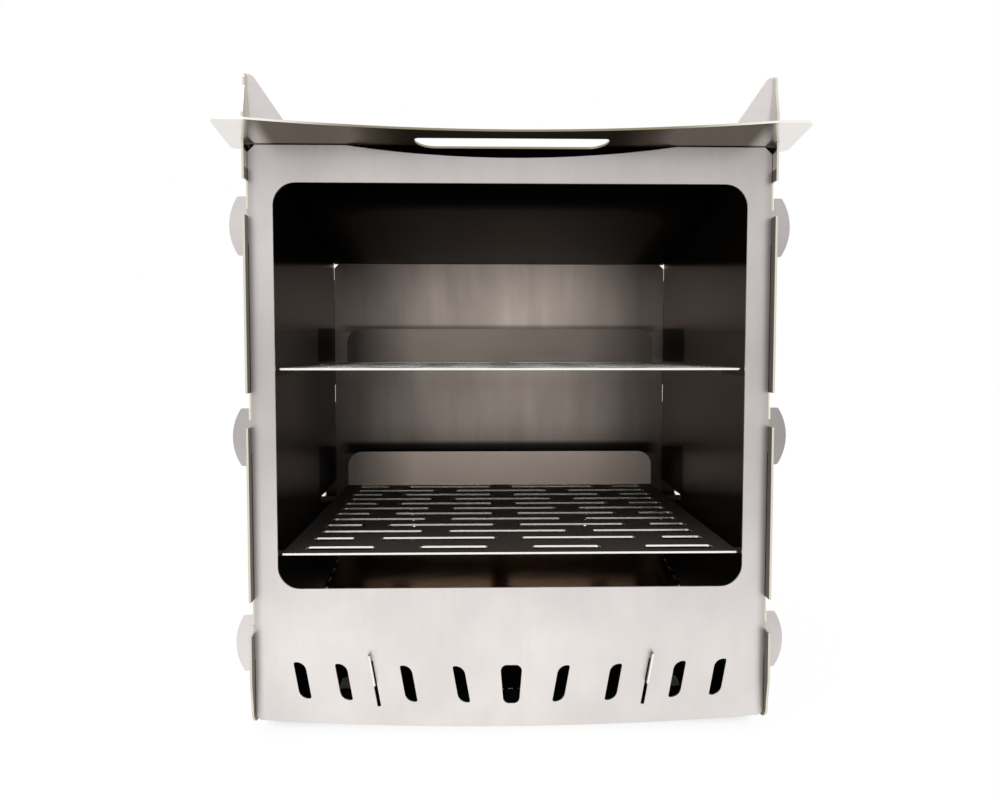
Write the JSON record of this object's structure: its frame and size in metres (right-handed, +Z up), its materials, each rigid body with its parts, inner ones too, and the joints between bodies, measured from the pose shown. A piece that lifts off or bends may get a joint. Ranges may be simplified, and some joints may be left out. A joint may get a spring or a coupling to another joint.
{
  "type": "folding camp oven",
  "caption": "Flat-packing camp oven of slotted stainless sheets, with an open mouth, slide-in slotted racks, a sliding top plate and a rising reflector floor.",
  "frame": {"origin": "on the ground, below the middle of the oven's whole box", "axes": "+X to the right as seen by the cook, +Y from the mouth to the back, +Z up"},
  "size_m": [0.311, 0.3218, 0.369],
  "materials": {
    "wall_steel": "brushed",
    "top_steel": "brushed",
    "floor_steel": "bright",
    "rack_steel": "bright"
  },
  "bodies": {
    "shell": {"front_panel": "wall_steel", "back_panel": "wall_steel", "side_panel_left": "wall_steel", "side_panel_right": "wall_steel", "floor_plate": "floor_steel"},
    "top": {"top_plate": "top_steel"},
    "rack_low": {"lower_rack": "rack_steel"},
    "rack_high": {"upper_rack": "rack_steel"}
  },
  "joints": [
    {"name": "top_slide", "type": "slide", "parent": "shell", "child": "top", "axis": [0, -0.9917, 0.1289], "range_m": [0, 0.26]},
    {"name": "lower_rack_slide", "type": "slide", "parent": "shell", "child": "rack_low", "axis": [0, -1, 0], "range_m": [0, 0.235]},
    {"name": "upper_rack_slide", "type": "slide", "parent": "shell", "child": "rack_high", "axis": [0, -1, 0], "range_m": [0, 0.235]}
  ]
}
